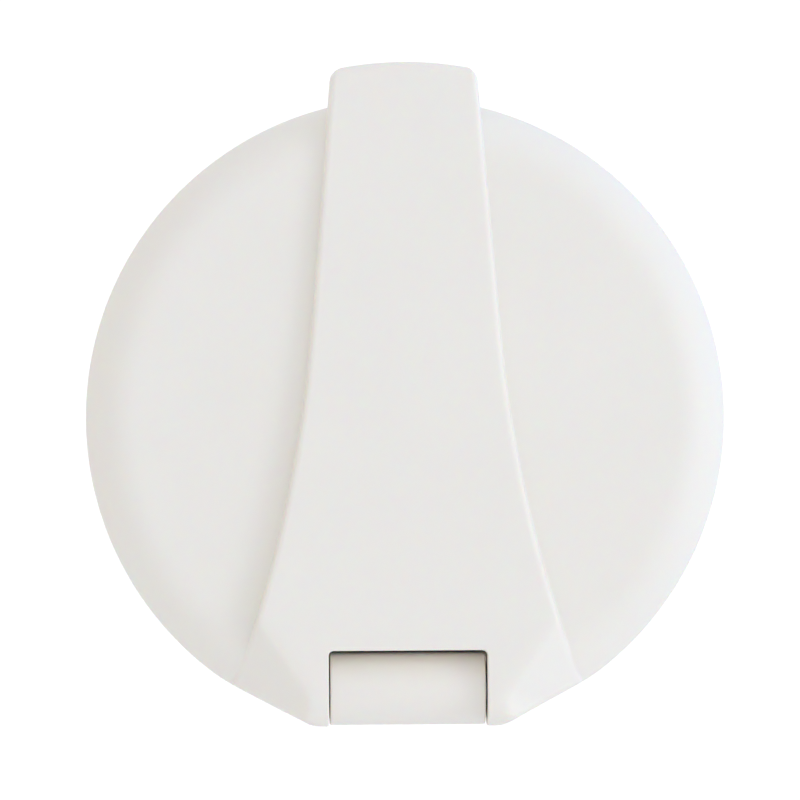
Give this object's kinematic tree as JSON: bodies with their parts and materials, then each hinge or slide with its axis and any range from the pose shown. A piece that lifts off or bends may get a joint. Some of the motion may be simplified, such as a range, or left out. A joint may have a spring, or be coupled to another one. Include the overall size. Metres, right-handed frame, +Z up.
{
  "type": "fire sprinkler head",
  "caption": "Recessed sidewall fire sprinkler head behind a round white hinged drop-down cover with a raised band and pull tab.",
  "frame": {"origin": "on the sprinkler's axis, in the plane of the wall's surface, at the back of the wall gasket", "axes": "+X to the right seen from the room, +Z up, +Y into the wall, so the cover faces -Y"},
  "size_m": [0.084, 0.0629, 0.0874],
  "materials": {
    "white_plastic": "fine satin moulded, warm off-white",
    "cup_metal": "drawn, satin",
    "brass": "cast and machined, satin",
    "steel": "zinc plated",
    "copper": "rolled copper strip",
    "solder": "dull grey fusible alloy",
    "bulb_glass": "glass filled with red fluid",
    "foam": "closed-cell foam",
    "fibre": "pressed fibre"
  },
  "bodies": {
    "base": {"base_ring": "white_plastic", "wall_gasket": "foam", "flange_screw_1": "steel", "flange_screw_2": "steel", "flange_screw_3": "steel", "flange_screw_4": "steel", "hinge_spring": "steel", "release_bracket": "copper", "bracket_screw_1": "steel", "bracket_screw_2": "steel"},
    "cover_lid": {"cover": "white_plastic", "hinge_pin": "steel", "cover_seal": "foam", "release_tab": "copper", "tab_screw_1": "steel", "tab_screw_2": "steel", "fusible_solder": "solder"},
    "sprinkler": {"recess_cup": "cup_metal", "sprinkler_frame": "brass", "deflector": "brass", "load_screw": "brass", "glass_bulb": "bulb_glass", "valve_cap": "brass", "spring_seal": "steel", "sealing_washer": "fibre", "retaining_nut": "brass"}
  },
  "joints": [
    {"name": "cover_hinge", "type": "hinge", "parent": "base", "child": "cover_lid", "pos_m": [0, -0.0095, -0.0356], "axis": [1, 0, 0], "range_deg": [0, 165], "stiffness_Nm_per_rad": 0.0035, "springref_deg": 165.01},
    {"name": "depth_slide", "type": "slide", "parent": "base", "child": "sprinkler", "axis": [0, 1, 0], "range_m": [0, 0.01]}
  ]
}
